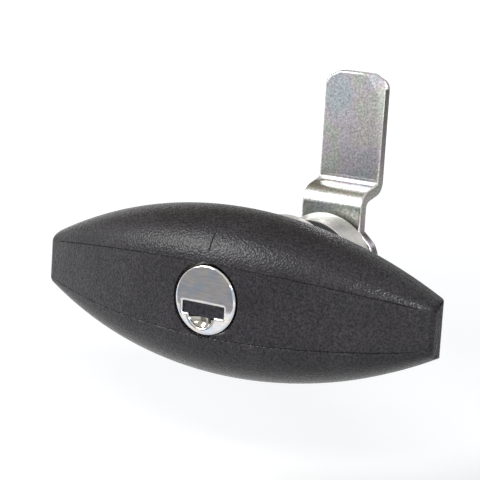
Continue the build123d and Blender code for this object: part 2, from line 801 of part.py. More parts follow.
def face_cap():
    """Stainless cap over the plug's head, with the key slot and its half-round finger notch."""
    body = rod(cap_radius, key_face_y, key_face_y + cap_depth)
    front_edge = body.edges().filter_by(GeomType.CIRCLE).sort_by(Axis.Y)[0]
    body = fillet(front_edge, cap_edge_round)
    body -= rod(plug_head_radius + pin_gap, cap_inner_y, key_face_y + cap_depth)
    slot = Rectangle(2 * slot_half_length, slot_top - slot_bottom)
    lower = Pos(0, slot_bottom - notch_radius) * Rectangle(2 * cap_radius, 2 * notch_radius)
    opening = Pos(key_way_x, (slot_top + slot_bottom) / 2) * slot
    opening += (Pos(notch_x, notch_centre_z) * Circle(notch_radius)) & lower
    body -= extrude(axial(key_face_y) * opening, -2 * cap_sheet)
    front = [e for e in body.edges() if abs(e.center().Y - key_face_y) < slot_bevel / 10]
    slot_edges = [e for e in front if e.length < cap_radius * pi / 2]
    return chamfer(slot_edges, slot_bevel)


def shutter_pin():
    """Hinge pin of the dust shutter."""
    half = shutter_pin_length / 2
    return cross_pin(shutter_pin_radius, -half, half, shutter_pin_y, shutter_pin_z)


def dust_shutter():
    """Flap behind the key slot, swung inwards by the key."""
    front_y = shutter_pin_y - knuckle_radius
    body = block(
        key_way_x - shutter_half_width,
        key_way_x + shutter_half_width,
        front_y,
        front_y + shutter_thickness,
        shutter_bottom,
        shutter_pin_z,
    )
    low = shutter_pin_z - knuckle_radius - free_gap
    inner = (key_way_x - knuckle_inner_x, key_way_x + knuckle_inner_x)
    body -= block(inner[0], inner[1], front_y, 0, low, shutter_edge_radius)
    for side in (-1, 1):
        ends = sorted((key_way_x + side * knuckle_inner_x, key_way_x + side * shutter_half_width))
        body += cross_pin(knuckle_radius, ends[0], ends[1], shutter_pin_y, shutter_pin_z)
    body &= rod(shutter_edge_radius, key_face_y, 0)
    hole = shutter_pin_radius + seat_gap
    return body - cross_pin(hole, -shutter_edge_radius, shutter_edge_radius, shutter_pin_y, shutter_pin_z)


def shutter_spring():
    """Torsion spring on the shutter's pin, one leg on the flap and one on the plug."""
    half = knuckle_inner_x - free_gap
    wire = coil(shutter_spring_radius, shutter_spring_wire, shutter_spring_turns, 2 * half)
    return Pos(key_way_x - half, shutter_pin_y, shutter_pin_z) * Rot(0, 90, 0) * wire


def bolt_driver():
    """Crank on the plug's square tail; its pin moves the lock bolt."""
    body = rod(driver_radius, driver_front_y, driver_rear_y)
    body -= square_bar(tail_width + running_gap, driver_front_y, plug_end_y + tail_length + slide_gap)
    pin_end_y = bolt_rear_y - slide_gap
    return body + rod(crank_pin_radius, driver_rear_y, pin_end_y, x=-crank_reach, z=-crank_reach)


def lock_bolt():
    """Bolt across the spindle that slides out into a keeper notch of the housing."""
    body = block(-bolt_half_width, bolt_half_width, bolt_front_y, bolt_rear_y, bolt_bottom, 2 * tube_radius)
    body &= rod(bolt_tip_radius, bolt_front_y, bolt_rear_y)
    reach = crank_pin_radius + crank_gap
    low = -crank_reach - reach
    high = -crank_reach + reach
    return body - block(-crank_radius - reach, high, bolt_front_y, bolt_rear_y, low, high)


os.makedirs("parts", exist_ok=True)
wing = outer_wing()
nodes = {
    "latch_housing": latch_housing(),
    "flange_gasket": flange_gasket(),
    "clamp_washer": clamp_washer(),
    "mounting_nut": mounting_nut(),
    "wing_shell": wing_shell(wing),
    "back_cover": back_cover(wing),
    "cover_screws": cover_screws(),
    "spindle": spindle(),
    "thrust_ring": thrust_ring(),
    "spindle_o_ring": spindle_o_ring(),
    "stop_disc": stop_disc(),
    "cam": cam(),
    "cam_washer": cam_washer(),
    "spring_washer": spring_washer(),
    "cam_screw": cam_screw(),
    "cylinder_shell": cylinder_shell(),
    "shell_pin": shell_pin(),
    "plug": plug(),
    "face_cap": face_cap(),
    "wafer_springs": wafer_springs(),
    "retaining_clip": retaining_clip(),
    "shutter_pin": shutter_pin(),
    "shutter_spring": shutter_spring(),
    "dust_shutter": dust_shutter(),
    "bolt_driver": bolt_driver(),
    "lock_bolt": lock_bolt(),
}
for index in range(wafer_count):
    nodes[f"wafer_{index + 1}"] = wafer(index)
for name, shape in nodes.items():
    export_step(shape, f"parts/{name}.step")
print(f"{len(nodes)} nodes, bolt travel {bolt_travel:.3f} mm")
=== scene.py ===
"""Looks of the lockable wing handle with its quarter-turn cam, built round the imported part.

Everything is in metres in the part's own frame: the lock axis is Y, +Y goes into the panel, +X is to the
right seen from the front, and +Z is up. The panel's outer face lies at Y = 0. Sizes in millimetres are
turned to metres where a mesh or a pattern is made.
"""

import bmesh
import bpy
import numpy as np
from mathutils import Matrix


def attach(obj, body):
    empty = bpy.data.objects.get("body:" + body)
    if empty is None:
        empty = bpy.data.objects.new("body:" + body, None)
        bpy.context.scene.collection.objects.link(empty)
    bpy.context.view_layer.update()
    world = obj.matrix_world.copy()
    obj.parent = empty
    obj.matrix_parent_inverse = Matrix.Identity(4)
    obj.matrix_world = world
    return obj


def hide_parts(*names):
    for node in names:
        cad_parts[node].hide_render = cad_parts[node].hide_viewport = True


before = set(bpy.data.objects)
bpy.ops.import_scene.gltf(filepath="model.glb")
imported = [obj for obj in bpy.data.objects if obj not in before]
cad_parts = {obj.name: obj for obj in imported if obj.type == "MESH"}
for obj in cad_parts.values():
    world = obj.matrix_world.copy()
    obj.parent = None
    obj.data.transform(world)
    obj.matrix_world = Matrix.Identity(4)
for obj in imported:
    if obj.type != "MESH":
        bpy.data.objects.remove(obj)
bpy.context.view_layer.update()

# The studio: a plain white table, far enough below that the turned handle clears it, under a large soft
# lamp at the upper left and a small one over the camera. Cards stand where the photograph's metal mirrors
# grey. The table and the room are white to the eye and in mirrors, and throw less light back than that.
MM = 0.001
SQUARE = ((-1, -1), (1, -1), (1, 1), (-1, 1))
TABLE_Z = -54 * MM
TABLE_REACH = 6.0
TABLE_WHITE = 0.8
TABLE_BOUNCE = 0.45
GLOW_REACH = (0.2, 0.7)
GLOW_STRENGTH = (0.38, 0.8)
ROOM_LIGHT = 0.4


def linear(code):
    """Linear colour of an sRGB hex code: c/12.92 up to 0.04045, else ((c + 0.055)/1.055) to the 2.4."""
    channels = [int(code[i : i + 2], 16) / 255 for i in (1, 3, 5)]
    return (*[c / 12.92 if c <= 0.04045 else ((c + 0.055) / 1.055) ** 2.4 for c in channels], 1.0)


def add(tree, kind, settings=None, **links):
    """Adds a node. Settings name its properties, inputs or colour stops, and links join inputs to sockets.

    A link is named by its input, with underscores for spaces, or by the input's number, as in0 for the first.
    """
    node = tree.nodes.new(kind)
    for key, value in (settings or {}).items():
        if key == "stops":
            elements = node.color_ramp.elements
            while len(elements) < len(value):
                elements.new(0.5)
            for element, (where, code) in zip(elements, value):
                element.position, element.color = where, linear(code)
        elif isinstance(key, str) and hasattr(node, key):
            setattr(node, key, value)
        else:
            node.inputs[key].default_value = value
    for key, socket in links.items():
        place = int(key[2:]) if key[:2] == "in" and key[2:].isdigit() else key.replace("_", " ")
        tree.links.new(socket, node.inputs[place])
    return node


def new_material(name):
    """Empty node material: the material, its tree and its output node."""
    material = bpy.data.materials.new(name)
    material.use_nodes = True
    material.node_tree.nodes.clear()
    return material, material.node_tree, material.node_tree.nodes.new("ShaderNodeOutputMaterial")


def seen_white(tree):
    """Socket that is 1 for rays from the camera, off a mirror or through glass, and 0 for the others."""
    path = add(tree, "ShaderNodeLightPath")
    eye = add(tree, "ShaderNodeMath", {"operation": "ADD"}, in0=path.outputs["Is Camera Ray"],
              in1=path.outputs["Is Glossy Ray"])
    return add(tree, "ShaderNodeMath", {"operation": "ADD", "use_clamp": True}, in0=eye.outputs[0],
               in1=path.outputs["Is Transmission Ray"]).outputs[0]


def facing(place, aim, roll=0.0):
    """Matrix of a thing at a place that looks at the aim along its -Z, with its +Y up but for the roll.

    Its back is the direction from the aim to the place, its side is +Z x back, and its up is back x side;
    the roll r turns them to side cos r + up sin r and up cos r - side sin r.
    """
    back = np.array(place, float) - np.array(aim, float)
    back /= np.linalg.norm(back)
    side = np.cross((0, 0, 1), back)
    side /= np.linalg.norm(side)
    up = np.cross(back, side)
    turn = np.eye(4)
    turn[:3, 0] = side * np.cos(roll) + up * np.sin(roll)
    turn[:3, 1] = up * np.cos(roll) - side * np.sin(roll)
    turn[:3, 2] = back
    turn[:3, 3] = place
    return Matrix(turn)


def lamp(name, place, aim, size, power):
    """Rectangular area lamp of the given size at a place, turned to face the aim."""
    data = bpy.data.lights.new(name, "AREA")
    data.shape = "RECTANGLE"
    data.size, data.size_y = size
    data.energy = power
    thing = bpy.data.objects.new(name, data)
    thing.matrix_world = facing(place, aim)
    bpy.context.collection.objects.link(thing)


def card(name, place, aim, size, code, through=0.0):
    """Matt paper card of a size and colour that faces the aim and lets a share of the light through.

    Only mirrors show it: it hides nothing from a camera behind it, and it throws no shadow on the table.
    """
    mesh = bpy.data.meshes.new(name)
    mesh.from_pydata([(x * size[0] / 2, y * size[1] / 2, 0) for x, y in SQUARE], [], [(0, 1, 2, 3)])
    thing = bpy.data.objects.new(name, mesh)
    thing.matrix_world = facing(place, aim)
    thing.visible_camera = thing.visible_diffuse = thing.visible_shadow = False
    bpy.context.collection.objects.link(thing)
    material, tree, out = new_material(name)
    matt = add(tree, "ShaderNodeBsdfDiffuse", {"Color": linear(code)})
    back = add(tree, "ShaderNodeBsdfTranslucent", {"Color": linear(code)})
    mix = add(tree, "ShaderNodeMixShader", {"Fac": through}, in1=matt.outputs[0], in2=back.outputs[0])
    tree.links.new(mix.outputs[0], out.inputs["Surface"])
    mesh.materials.append(material)


world = bpy.data.worlds.new("white_room")
bpy.context.scene.world = world
world.use_nodes = True
tree = world.node_tree
tree.nodes.clear()
soft = add(tree, "ShaderNodeBackground", {"Color": linear("#f4f6fa"), "Strength": ROOM_LIGHT})
white = add(tree, "ShaderNodeBackground", {"Color": (1, 1, 1, 1), "Strength": 1.0})
mix = add(tree, "ShaderNodeMixShader", in0=seen_white(tree), in1=soft.outputs[0], in2=white.outputs[0])
add(tree, "ShaderNodeOutputWorld", Surface=mix.outputs[0])

table_mesh = bpy.data.meshes.new("table_top")
table_mesh.from_pydata([(x * TABLE_REACH, y * TABLE_REACH, TABLE_Z) for x, y in SQUARE], [], [(0, 1, 2, 3)])
table_top = bpy.data.objects.new("table_top", table_mesh)
bpy.context.collection.objects.link(table_top)
material, tree, out = new_material("white_table")
place = add(tree, "ShaderNodeTexCoord")
# The glow grows with the distance from the object, so that the table meets the white room without an edge.
reach = add(tree, "ShaderNodeVectorMath", {"operation": "LENGTH"}, in0=place.outputs["Object"])
glow = add(tree, "ShaderNodeMapRange", {"From Min": GLOW_REACH[0], "From Max": GLOW_REACH[1],
                                        "To Min": GLOW_STRENGTH[0], "To Max": GLOW_STRENGTH[1]},
           Value=reach.outputs["Value"])
matt = add(tree, "ShaderNodeBsdfDiffuse", {"Color": (TABLE_WHITE, TABLE_WHITE, TABLE_WHITE, 1)})
dull = add(tree, "ShaderNodeBsdfDiffuse", {"Color": (TABLE_BOUNCE, TABLE_BOUNCE, TABLE_BOUNCE, 1)})
shine = add(tree, "ShaderNodeEmission", {"Color": (1, 1, 1, 1)}, Strength=glow.outputs[0])
both = add(tree, "ShaderNodeAddShader", in0=matt.outputs[0], in1=shine.outputs[0])
mix = add(tree, "ShaderNodeMixShader", in0=seen_white(tree), in1=dull.outputs[0], in2=both.outputs[0])
tree.links.new(mix.outputs[0], out.inputs["Surface"])
table_mesh.materials.append(material)

# Each has its place, the point it faces and its size in metres, then its watts or its colour.
lamp("upper_left_softbox", (-0.42, -0.51, 0.40), (0, 0, 0), (0.36, 0.40), 4.5)
lamp("camera_softbox", (0.43, -0.70, 0.37), (0, 0, 0), (0.26, 0.08), 3.0)
card("front_card", (-0.130, -0.233, -0.002), (-0.130, 0, -0.002), (0.26, 0.104), "#dadadc", 0.15)
card("right_card", (0.26, 0.30, 0.06), (0, 0, 0.03), (0.36, 0.228), "#6e6a66")
card("rear_card", (-0.27, 0.17, 0.41), (0, 0, 0.01), (0.55, 0.60), "#bdb5a4")

# The camera, where the photograph was taken from: 32 degrees to the right of the lock axis and 10.5 degrees
# above it, 477 mm from a point up and to the right of the key's face, and rolled by 3.6 degrees. It has a
# 166 mm lens on a 36 mm sensor.
CAMERA_DISTANCE = 476.98
AIM_RIGHT, AIM_UP, AIM_Y = 6.596, 13.380, -33.0
FOCAL_LENGTH = 166.095
SENSOR_WIDTH = 36.0
azimuth, elevation, roll = np.radians([32.205, 10.529, 3.619])
level = np.array([np.cos(azimuth), np.sin(azimuth), 0])
back = np.array([level[1] * np.cos(elevation), -level[0] * np.cos(elevation), np.sin(elevation)])
aim = (level * AIM_RIGHT + np.cross(back, level) * AIM_UP + (0, AIM_Y, 0)) * MM
camera_data = bpy.data.cameras.new("camera")
camera_data.sensor_width = SENSOR_WIDTH
camera_data.lens = FOCAL_LENGTH
camera_data.clip_start = 0.01
camera = bpy.data.objects.new("camera", camera_data)
camera.matrix_world = facing(aim + back * CAMERA_DISTANCE * MM, aim, roll)
bpy.context.collection.objects.link(camera)
bpy.context.scene.camera = camera
bpy.context.scene.view_settings.view_transform = "Standard"

# The housing: one die casting in bare zinc alloy, with a chamfered flange in front of the panel and a
# barrel with an M22 x 1.5 thread behind it, flat at top and bottom. The small lug at the rear is its stop.
BARREL_RADIUS = 11.0
BARREL_LENGTH = 17.2
LEAD_IN = 0.9
FLAT_HALF = 10.0
FLAT_START = 1.35
FLANGE_RADIUS = 15.0
FLANGE_FRONT = -5.5
SEAL_RADII = (12.0, 14.2)
SEAL_DEPTH = 1.4
TUBE_BORE = 10.06
TUBE_WALL = 0.1
TUBE_FLOOR = 1.1
SHAFT_BORE = 7.06
THREAD_PITCH = 1.5
THREAD_DEPTH = 0.81
THREAD_RUN_IN = 0.8
KEEPER_HALF = 4.5
KEEPER_REACH = (8, 12.9)
KEEPER_Y = (-6, -1.9)
TURN_STEPS = 180
THREAD_POINTS = 150


def grid_faces(rows, columns, closed=False):
    """Quads of a grid of rows by columns of points, its last column joined to the first if closed."""
    i, j = np.meshgrid(np.arange(rows - 1), np.arange(columns if closed else columns - 1), indexing="ij")
    n = (j + 1) % columns
    quads = np.stack([i * columns + j, i * columns + n, (i + 1) * columns + n, (i + 1) * columns + j], axis=2)
    return quads.reshape(-1, 4)


def smooth(thing):
    """Smooth shading, with edges over 32 degrees kept crisp."""
    thing.data.polygons.foreach_set("use_smooth", np.ones(len(thing.data.polygons), bool))
    thing.data.set_sharp_from_angle(angle=np.radians(32))


def piece(name, points, faces, material):
    """Object from points in mm and faces, with its doubles merged and its normals outward."""
    mesh = bpy.data.meshes.new(name)
    mesh.from_pydata(np.asarray(points, float) * MM, [], [list(map(int, face)) for face in faces])
    skin = bmesh.new()
    skin.from_mesh(mesh)
    bmesh.ops.remove_doubles(skin, verts=skin.verts, dist=1e-7)
    bmesh.ops.dissolve_degenerate(skin, edges=skin.edges, dist=1e-8)
    bmesh.ops.recalc_face_normals(skin, faces=skin.faces)
    skin.to_mesh(mesh)
    skin.free()
    mesh.materials.append(material)
    thing = bpy.data.objects.new(name, mesh)
    bpy.context.collection.objects.link(thing)
    smooth(thing)
    return thing


def cut(thing, points, faces):
    """Takes the closed form of points, in mm, and faces out of a piece."""
    tool = piece("cutter", points, faces, thing.data.materials[0])
    step = thing.modifiers.new("cut", "BOOLEAN")
    step.operation = "DIFFERENCE"
    step.solver = "EXACT"
    step.object = tool
    whole = bpy.data.meshes.new_from_object(thing.evaluated_get(bpy.context.evaluated_depsgraph_get()))
    thing.modifiers.remove(step)
    old = thing.data
    thing.data = whole
    bpy.data.objects.remove(tool)
    bpy.data.meshes.remove(old)
    smooth(thing)


def keep_flats(thing):
    """Weighs a finished piece's normals by the area of its faces, so that flats stay flat beside rounds."""
    thing.modifiers.new("flats", "WEIGHTED_NORMAL").keep_sharp = True


def lathe(y, radius, steps):
    """Grid of a closed profile turned round the lock axis, where the radius may differ at each step.

    A point at the depth y and the angle a from +Z towards +X is (radius sin a, y, radius cos a).
    """
    angle = np.linspace(0, 2 * np.pi, steps, endpoint=False)[:, None]
    radius = np.broadcast_to(np.asarray(radius, float), (steps, len(y)))
    points = np.stack([radius * np.sin(angle), y + 0 * radius, radius * np.cos(angle)], axis=2)
    return np.concatenate([points, points[:1]]).reshape(-1, 3), grid_faces(steps + 1, len(y), closed=True)


def brick(low, high):
    """Points and faces of a box between two corners in mm."""
    points = [(x, y, z) for x in (low[0], high[0]) for y in (low[1], high[1]) for z in (low[2], high[2])]
    return points, [(0, 1, 3, 2), (4, 6, 7, 5), (0, 4, 5, 1), (2, 3, 7, 6), (0, 2, 6, 4), (1, 5, 7, 3)]


def die_cast_zinc():
    """Bare die-cast zinc alloy: a light grey metal, satin, with the faint 0.6 mm grain of its cast skin."""
    material, tree, out = new_material("die_cast_zinc_alloy")
    place = add(tree, "ShaderNodeTexCoord")
    cloud = add(tree, "ShaderNodeTexNoise", {"Scale": 1 / (3 * MM), "Detail": 4.0},
                Vector=place.outputs["Object"])
    tone = add(tree, "ShaderNodeValToRGB", {"stops": ((0.35, "#b6b5b2"), (0.65, "#cbc9c4"))},
               Fac=cloud.outputs["Fac"])
    grain = add(tree, "ShaderNodeTexNoise", {"Scale": 1 / (0.6 * MM), "Detail": 3.0, "Roughness": 0.55},
                Vector=place.outputs["Object"])
    bump = add(tree, "ShaderNodeBump", {"Strength": 1.0, "Distance": 0.012 * MM}, Height=grain.outputs["Fac"])
    skin = add(tree, "ShaderNodeBsdfPrincipled", {"Metallic": 1.0, "Roughness": 0.34},
               Base_Color=tone.outputs["Color"], Normal=bump.outputs[0])
    tree.links.new(skin.outputs[0], out.inputs["Surface"])
    return material


cast_zinc = die_cast_zinc()
angle = np.linspace(0, 2 * np.pi, TURN_STEPS, endpoint=False)[:, None]
thread_y = np.linspace(0.05, BARREL_LENGTH, THREAD_POINTS)
# A 60 degree thread: a root P/4 wide, flanks 5/16 P long on both sides of it, and a crest P/8 wide.
from_root = np.abs((thread_y / THREAD_PITCH - angle / (2 * np.pi)) % 1.0 - 0.5) * THREAD_PITCH
groove = 1 - np.clip((from_root - THREAD_PITCH / 8) / (THREAD_PITCH * 5 / 16), 0, 1)
groove *= np.clip((thread_y - THREAD_RUN_IN) / THREAD_RUN_IN, 0, 1)
bevel = BARREL_RADIUS - np.clip(thread_y - BARREL_LENGTH + LEAD_IN, 0, 1)
flat = FLAT_HALF / np.maximum(np.abs(np.cos(angle)), 0.2)  # 0.2 keeps it finite at the sides
barrel = np.minimum(np.minimum(BARREL_RADIUS - THREAD_DEPTH * groove, bevel), flat)
# The tube's bore is wider than the flats are apart, so a low pad in front of them keeps its wall closed.
barrel = np.maximum(barrel, np.where(thread_y < FLAT_START, TUBE_BORE + TUBE_WALL, 0))
# The profile's points (y, radius): from the shaft's bore forward through the tube, round the chamfered
# flange and through the seal's groove to the barrel, and then from the barrel's end back to the bore.
before = np.array([
    (TUBE_FLOOR, SHAFT_BORE), (TUBE_FLOOR, TUBE_BORE), (FLANGE_FRONT + 0.2, TUBE_BORE), (FLANGE_FRONT, 10.26),
    (FLANGE_FRONT, 13.75), (-5.42, 13.88), (-4.38, 14.92), (-4.25, FLANGE_RADIUS),
    (-0.3, FLANGE_RADIUS), (-0.08, 14.92), (0, 14.7),
    (0, SEAL_RADII[1]), (-SEAL_DEPTH, SEAL_RADII[1]), (-SEAL_DEPTH, SEAL_RADII[0]), (0, SEAL_RADII[0]),
])
after = np.array([(BARREL_LENGTH, SHAFT_BORE + 0.3), (BARREL_LENGTH - 0.3, SHAFT_BORE)])
y = np.concatenate([before[:, 0], thread_y, after[:, 0]])
bores = [np.tile(part[:, 1], (TURN_STEPS, 1)) for part in (before, after)]
turned = lathe(y, np.hstack([bores[0], barrel, bores[1]]), TURN_STEPS)
threaded_housing = piece("threaded_housing", *turned, cast_zinc)
(near, far), (front, rear) = KEEPER_REACH, KEEPER_Y
cut(threaded_housing, *brick((-KEEPER_HALF, front, near), (KEEPER_HALF, rear, far)))
cut(threaded_housing, *brick((near, front, -KEEPER_HALF), (far, rear, KEEPER_HALF)))
keep_flats(threaded_housing)
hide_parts("latch_housing")
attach(threaded_housing, "housing")

# The lug is a sector of a ring on the barrel's rear end, centred at the bottom.
LUG_RADII = (8.0, 10.2)
LUG_HALF_ANGLE = 12
LUG_HEIGHT = 0.9
turn = np.radians(180 + np.linspace(-LUG_HALF_ANGLE, LUG_HALF_ANGLE, 13))
inner, outer = (np.stack([r * np.sin(turn), 0 * turn, r * np.cos(turn)], axis=1) for r in LUG_RADII)
ring = np.concatenate([outer, inner[::-1]])
levels = [ring + (0, y, 0) for y in (BARREL_LENGTH, BARREL_LENGTH + LUG_HEIGHT)]
count = len(ring)
sides = [(i, (i + 1) % count, count + (i + 1) % count, count + i) for i in range(count)]
ends = [tuple(range(count)), tuple(range(2 * count - 1, count - 1, -1))]
stop_lug = piece("stop_lug", np.concatenate(levels), sides + ends, cast_zinc)
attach(stop_lug, "housing")


# The flange's flat seal and the washer under the nut, both punched from black nitrile rubber, and the
# round cast nut that draws the flange against the panel.
def give(node, material):
    """Gives a CAD node's object its material."""
    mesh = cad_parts[node].data
    mesh.materials.clear()
    mesh.materials.append(material)


def nitrile_rubber():
    """Black nitrile rubber: dark and matt, with the fine 0.5 mm calendered grain of sheet."""
    material, tree, out = new_material("nitrile_rubber")
    place = add(tree, "ShaderNodeTexCoord")
    grain = add(tree, "ShaderNodeTexNoise", {"Scale": 1 / (0.5 * MM), "Detail": 2.0, "Roughness": 0.55},
                Vector=place.outputs["Object"])
    bump = add(tree, "ShaderNodeBump", {"Strength": 1.0, "Distance": 0.03 * MM}, Height=grain.outputs["Fac"])
    skin = add(tree, "ShaderNodeBsdfPrincipled", {"Base Color": linear("#222222"), "Roughness": 0.72,
                                                  "IOR": 1.52}, Normal=bump.outputs[0])
    tree.links.new(skin.outputs[0], out.inputs["Surface"])
    return material


rubber = nitrile_rubber()
give("flange_gasket", rubber)
give("clamp_washer", rubber)
give("mounting_nut", cast_zinc)

# The wing's front shell: a glass-filled polyamide moulding, 2.5 mm thick, with a flat bowed face, crowned
# flanks and rounded tips. Hairline grooves part the face from the flanks, and a short mark tops the middle.
WING_HALF = 50.0
# Four sizes at the wing's middle and at its tips.
FRONT_Y = (-33.4, -22.8)
REAR_Y = (-19.5, -18.1)
FACE_HALF = (8.1, 4.2)
OUTER_HALF = (18.9, 6.1)

COVER_PLATE = 2.0
FLANK_LEAN = 5.3
FLANK_FULLNESS = 0.8
SHELL_WALL = 2.5
END_WALL = 4.0
TIP_ROUND = 1.0
SEAM_BEVEL = 0.15
HAIRLINE_DEPTH = 0.17
HAIRLINE_HALF = 0.17
HAIRLINE_STOP = 1.5
HAIRLINE_FADE = 3.0
MARK_DEPTH = 0.24
MARK_HALF = 0.15
MARK_Z = (10.5, 15.0)
MARK_FADE = (0.3, 0.5)
KEY_HOLE_RADIUS = 8.3
KEY_HOLE_STEPS = 128
FLANK_COLUMNS = 46
FACE_COLUMNS = 33


def bow(x, ends):
    """Value on the circular arc that runs from the first of ends at the middle to the second at the tips.

    Its radius is (half^2 + rise^2)/(2 rise), and at x it has risen by radius - sqrt(radius^2 - x^2).
    """
    rise = ends[1] - ends[0]
    radius = (WING_HALF**2 + rise**2) / (2 * rise)
    return ends[0] + radius - np.copysign(np.sqrt(radius**2 - x**2), radius)


def wing_grid(rows, inset, grooved):
    """Surface of the wing as (row, column, xyz) in mm, drawn inside the outer form by inset.

    Each row is a cross-section: up the rear edge, along the crowned flank, across the flat face and down
    the other flank. The flank is a conic from the rear edge to the face, weighted by its fullness, in
    k = t/(1 - t): y = (front + 2 w shoulder k + rear k^2)/(1 + 2 w k + k^2), and z in the same way. It
    starts where y is the parting line's, at the positive root of a k^2 + b k + c, and ends at the hairline.
    """
    x = rows[:, 0:1]
    pull = rows[:, 1:2] + inset
    front = bow(x, FRONT_Y) + pull
    face = bow(x, FACE_HALF) - pull / 2
    outer = bow(x, OUTER_HALF) - pull
    rear = bow(x, REAR_Y)
    parting = rear - COVER_PLATE
    lean = np.tan(np.radians(FLANK_LEAN))
    shoulder = front + (outer - face) * lean
    w = FLANK_FULLNESS
    a, b, c = rear - parting, 2 * w * (shoulder - parting), front - parting
    k_end = (-b + np.sqrt(b * b - 4 * a * c)) / (2 * a)
    t = np.linspace(1, 0.012, FLANK_COLUMNS)[None, :] * (k_end / (1 + k_end))
    k = t / (1 - t)
    weight = 1 + 2 * w * k + k * k
    flank_y = (front + 2 * w * shoulder * k + rear * k * k) / weight
    flank_z = (face + 2 * w * outer * k + outer * k * k) / weight
    near = np.array([HAIRLINE_HALF, 0.07, 0.0, -0.07, -HAIRLINE_HALF])[None, :]
    crease_y = front + lean * np.maximum(near, 0)
    half_y = np.hstack([parting, flank_y[:, :1] - SEAM_BEVEL, flank_y[:, 1:], crease_y])
    half_z = np.hstack([outer - SEAM_BEVEL, flank_z, face + near])
    share = np.linspace(0.96, -0.96, FACE_COLUMNS)[None, :]
    y = np.hstack([half_y, front + 0 * share, half_y[:, ::-1]])
    z = np.hstack([half_z, face * share, -half_z[:, ::-1]])
    still_open = 1 - rows[:, 2:3]
    grid = np.stack([x + 0 * y, parting + (y - parting) * still_open, z * still_open], axis=2)
    if not grooved:
        return grid
    depth = np.zeros_like(y)
    groove = slice(half_z.shape[1] - near.shape[1], half_z.shape[1])
    fade = np.clip((WING_HALF - HAIRLINE_STOP - np.abs(x)) / HAIRLINE_FADE, 0, 1)
    hairline = HAIRLINE_DEPTH * (1 - np.abs(near) / HAIRLINE_HALF) * fade
    depth[:, groove] = hairline
    depth[:, ::-1][:, groove] = hairline
    low_end = np.clip((z - MARK_Z[0]) / MARK_FADE[0], 0, 1)
    high_end = np.clip((MARK_Z[1] - z) / MARK_FADE[1], 0, 1)
    depth += MARK_DEPTH * np.clip(1 - np.abs(x) / MARK_HALF, 0, 1) * (low_end * high_end)
    inward = np.cross(np.gradient(grid, axis=0), np.gradient(grid, axis=1))
    inward /= np.linalg.norm(inward, axis=2, keepdims=True) + 1e-12
    inward *= np.sign(inward[:, :, 1:2].sum())
    return grid + inward * depth[:, :, None]


def wing_rows(half, rounding):
    """Rows as (x, inset, share closed), finer at the middle mark and round the tips.

    On a tip of radius r, at the angle a of its arc, x is half - r (1 - cos a) and the inset r (1 - sin a).
    The last rows close each tip towards the middle of its rear edge.
    """
    turn = np.linspace(0, np.pi / 2, 9)
    tip = np.stack([half - rounding * (1 - np.cos(turn)), rounding * (1 - np.sin(turn)), 0 * turn], axis=1)
    body = np.concatenate([[0, 0.06, MARK_HALF, 0.3, 0.6, 1.1], np.linspace(1.8, half - rounding - 0.3, 66)])
    closing = np.array([[half, rounding, share] for share in (0.3, 0.6, 0.85, 1.0)])
    side = np.concatenate([np.stack([body, 0 * body, 0 * body], axis=1), tip[::-1], closing])
    return np.concatenate([side[:0:-1] * (-1, 1, 1), side])


def spark_eroded_polyamide():
    """Black glass-filled polyamide from a spark-eroded tool: a sandy grain that glints where it is lit.

    The real grain is 0.1 to 0.2 mm; it is drawn as 0.5 mm pits so that it shows in the picture. The pits
    shade each other, so the specular level is low.
    """
    material, tree, out = new_material("spark_eroded_glass_filled_polyamide")
    place = add(tree, "ShaderNodeTexCoord")
    cloud = add(tree, "ShaderNodeTexNoise", {"Scale": 1 / (9 * MM), "Detail": 3.0},
                Vector=place.outputs["Object"])
    tone = add(tree, "ShaderNodeValToRGB", {"stops": ((0.35, "#232123"), (0.65, "#2a282b"))},
               Fac=cloud.outputs["Fac"])
    fine = add(tree, "ShaderNodeTexNoise", {"Scale": 1 / (0.5 * MM), "Detail": 3.0, "Roughness": 0.7},
               Vector=place.outputs["Object"])
    sand = add(tree, "ShaderNodeMapRange", {"From Min": 0.38, "From Max": 0.64, "To Min": 0.3, "To Max": 2.3},
               Value=fine.outputs["Fac"])
    colour = add(tree, "ShaderNodeMix", {"data_type": "RGBA", "blend_type": "MULTIPLY", 0: 1.0},
                 in6=tone.outputs["Color"], in7=sand.outputs[0])
    gloss = add(tree, "ShaderNodeMapRange", {"From Min": 0.38, "From Max": 0.64,
                                             "To Min": 0.38, "To Max": 0.22}, Value=fine.outputs["Fac"])
    grit = add(tree, "ShaderNodeTexVoronoi", {"Scale": 1 / (0.5 * MM)}, Vector=place.outputs["Object"])
    bump = add(tree, "ShaderNodeBump", {"Strength": 1.0, "Distance": 0.07 * MM},
               Height=grit.outputs["Distance"])
    skin = add(tree, "ShaderNodeBsdfPrincipled", {"IOR": 1.5, "Specular IOR Level": 0.26},
               Base_Color=colour.outputs[2], Roughness=gloss.outputs[0], Normal=bump.outputs[0])
    tree.links.new(skin.outputs[0], out.inputs["Surface"])
    return material


polyamide = spark_eroded_polyamide()
outer = wing_grid(wing_rows(WING_HALF, TIP_ROUND), 0.0, True)
inner = wing_grid(wing_rows(WING_HALF - END_WALL, TIP_ROUND / 2), SHELL_WALL, False)
rows, columns = outer.shape[:2]
second = rows * columns
skin_faces = grid_faces(rows, columns)
rims = []
for column in (0, columns - 1):
    first = np.arange(rows - 1) * columns + column
    rims.append(np.stack([first, first + columns, second + first + columns, second + first], axis=1))
points = np.concatenate([outer.reshape(-1, 3), inner.reshape(-1, 3)])
faces = np.concatenate([skin_faces, skin_faces + second, *rims])
wing_front = piece("wing_front_shell", points, faces, polyamide)
